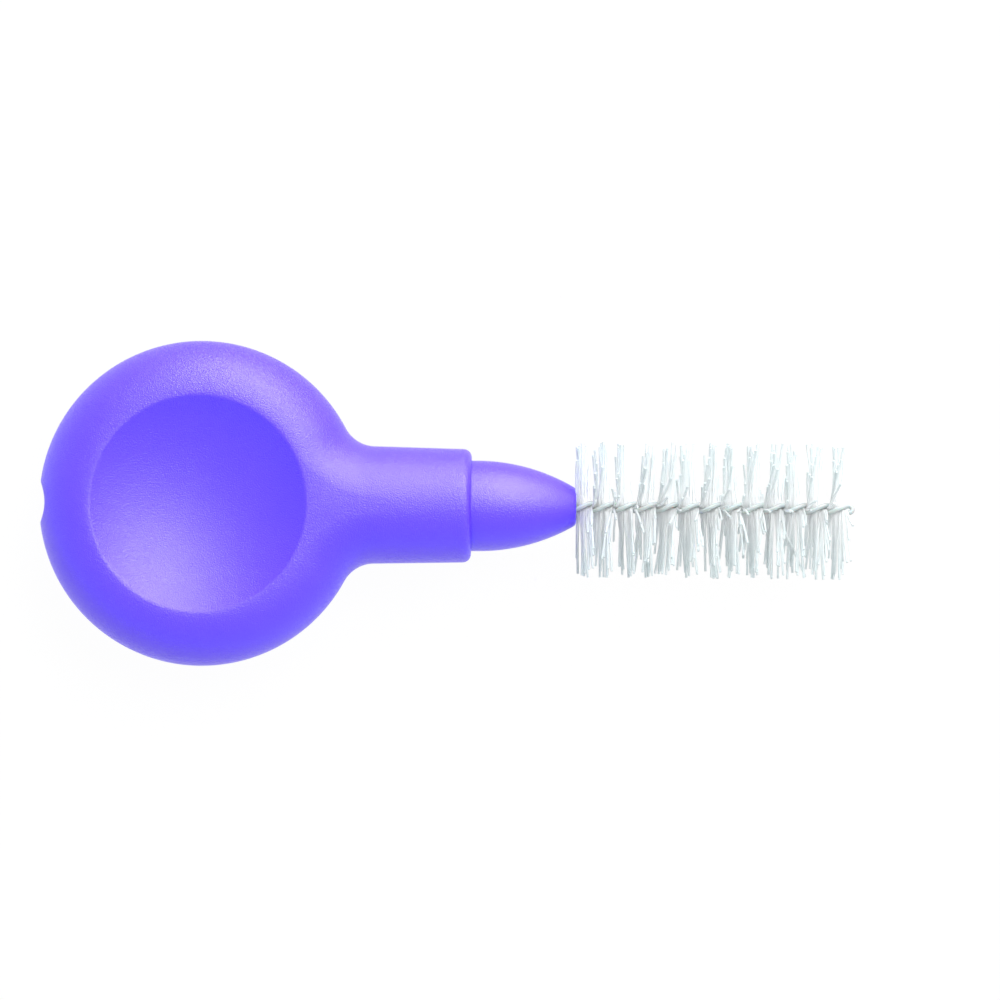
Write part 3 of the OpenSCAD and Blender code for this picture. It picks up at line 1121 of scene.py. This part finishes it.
paint(grip, elastomer)
paint(core, hard_violet)
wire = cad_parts["wire"]
wire.material_slots[0].material = steel
bristle_nodes = [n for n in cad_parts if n.startswith("bristles")]
for piece, slot, nodes in (
    (grip, "soft_grip", ["grip"]),
    (core, "hard_core", ["nose_core"]),
    (coat, "wire_coat", ["wire_coating"]),
    (brush, "filament", bristle_nodes),
):
    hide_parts(*nodes)
    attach(piece, "root")
print("pieces:", [o.name for o in (grip, core, coat, brush)])

# %% [markdown]
# ## A white floor
# The photograph has a white ground and no strong shadow. The floor is matt and white, and for the
# camera most of its brightness is a glow, so the object's shadow stays but is faint. It lies just
# below the lowest tips of the filaments.

# %% Floor
FLOOR_Z = -4.02
FLOOR_HALF = 1500
FLOOR_GLOW = 0.97
FLOOR_PATCH = 40
FLOOR_DARK, FLOOR_PALE = (0.90, 0.90, 0.90), (0.92, 0.92, 0.92)
WHITE = (1, 1, 1, 1)


def background_rays(tree):
    """1 for rays from the camera, from gloss and through clear things, and 0 for the others."""
    rays = node(tree, "ShaderNodeLightPath").outputs
    seen = math_node(tree, "MAXIMUM", rays["Is Camera Ray"], rays["Is Glossy Ray"])
    return math_node(tree, "MAXIMUM", seen, rays["Is Transmission Ray"])


def floor_material():
    """A matt white that partly glows for the rays that see the background."""
    made, tree, inputs = new_material("white_floor", Roughness=0.9, Specular_IOR_Level=0.0)
    dress(tree, inputs, Base_Color=two_tone(tree, grain(tree, FLOOR_PATCH), FLOOR_DARK, FLOOR_PALE))
    matt, output = tree.nodes["Principled BSDF"], tree.nodes["Material Output"]
    glow = node(tree, "ShaderNodeEmission", {"Color": WHITE, "Strength": 1.0})
    share = math_node(tree, "MULTIPLY", background_rays(tree), FLOOR_GLOW)
    mixed = node(tree, "ShaderNodeMixShader", {0: share, 1: matt.outputs[0], 2: glow.outputs[0]})
    tree.links.new(mixed.outputs[0], output.inputs["Surface"])
    return made


corners = ((-1, -1), (1, -1), (1, 1), (-1, 1))
ground = [(x * FLOOR_HALF, y * FLOOR_HALF, FLOOR_Z) for x, y in corners]
floor = mesh_object("floor", ground, [], [(0, 1, 2, 3)])
paint(floor, floor_material())
print("floor at z =", FLOOR_Z, "mm")

# %% [markdown]
# ## A white world
# The world is even and fills the dark side. It is fully white for the camera and in reflections,
# and dimmer as a source of light, so that the lamps can still shape the object.

# %% World
WORLD_LEVEL = 0.75


def white_world():
    """A world of full strength for the background and of a lower level as a light."""
    made = bpy.data.worlds.new("studio")
    made.use_nodes = True
    tree = made.node_tree
    tree.nodes.clear()
    rest = math_node(tree, "MULTIPLY", background_rays(tree), 1 - WORLD_LEVEL)
    light = node(tree, "ShaderNodeBackground", {
        "Color": WHITE, "Strength": math_node(tree, "ADD", WORLD_LEVEL, rest)})
    node(tree, "ShaderNodeOutputWorld", {"Surface": light.outputs[0]})
    return made


bpy.context.scene.world = white_world()
print("level of the world as a light:", WORLD_LEVEL)

# %% [markdown]
# ## Two soft lamps
# Two large soft lamps stand beyond the upper edge: a high one lights the top from the right, and
# a low one draws the highlight along the upper edges. A lamp's place is written as a turn round
# the object and a rise above the floor, and its power follows from how bright it should make a
# white face.

# %% Lamps
LAMP_FAR = 300


def lamp(name, turn, rise, wide, tall, level):
    """A soft lamp that looks at the object. At level 1 a white face square to it looks white."""
    turn, rise = math.radians(turn), math.radians(rise)
    data = bpy.data.lights.new(name, "AREA")
    data.shape = "RECTANGLE"
    data.size = wide * MM
    data.size_y = tall * MM
    data.energy = level * (math.pi * LAMP_FAR * MM) ** 2
    made = new_object(name, data)
    flat = math.cos(rise)
    back = Vector((math.cos(turn) * flat, math.sin(turn) * flat, math.sin(rise)))
    made.location = back * LAMP_FAR * MM
    made.rotation_euler = back.to_track_quat("Z", "Y").to_euler()
    return made


key = lamp("key", turn=52, rise=57, wide=240, tall=150, level=0.88)
low_light = lamp("low_light", turn=76, rise=22, wide=220, tall=190, level=0.92)
print("lamp power in watts:", [round(o.data.energy, 3) for o in (key, low_light)])

# %% [markdown]
# ## The camera
# The camera looks straight down through a long lens, turned by half a degree as in the
# photograph. Its height follows from the width that it has to see.

# %% Camera
VIEW_WIDTH = 58.8
LENS = 150
SENSOR = 36
CAMERA_X = 1.68
CAMERA_Y = 0.36
CAMERA_ROLL = math.radians(0.53)
NEAREST = 1  # where the camera begins to see

camera_data = bpy.data.cameras.new("camera")
camera_data.lens = LENS
camera_data.sensor_width = SENSOR
camera_data.clip_start = NEAREST * MM
camera = new_object("camera", camera_data)
camera.location = Vector((CAMERA_X, CAMERA_Y, VIEW_WIDTH * LENS / SENSOR)) * MM
camera.rotation_euler = (0, 0, CAMERA_ROLL)
bpy.context.scene.camera = camera
bpy.context.scene.view_settings.view_transform = "Standard"
print("camera is", round(camera.location.z / MM), "mm above the object")
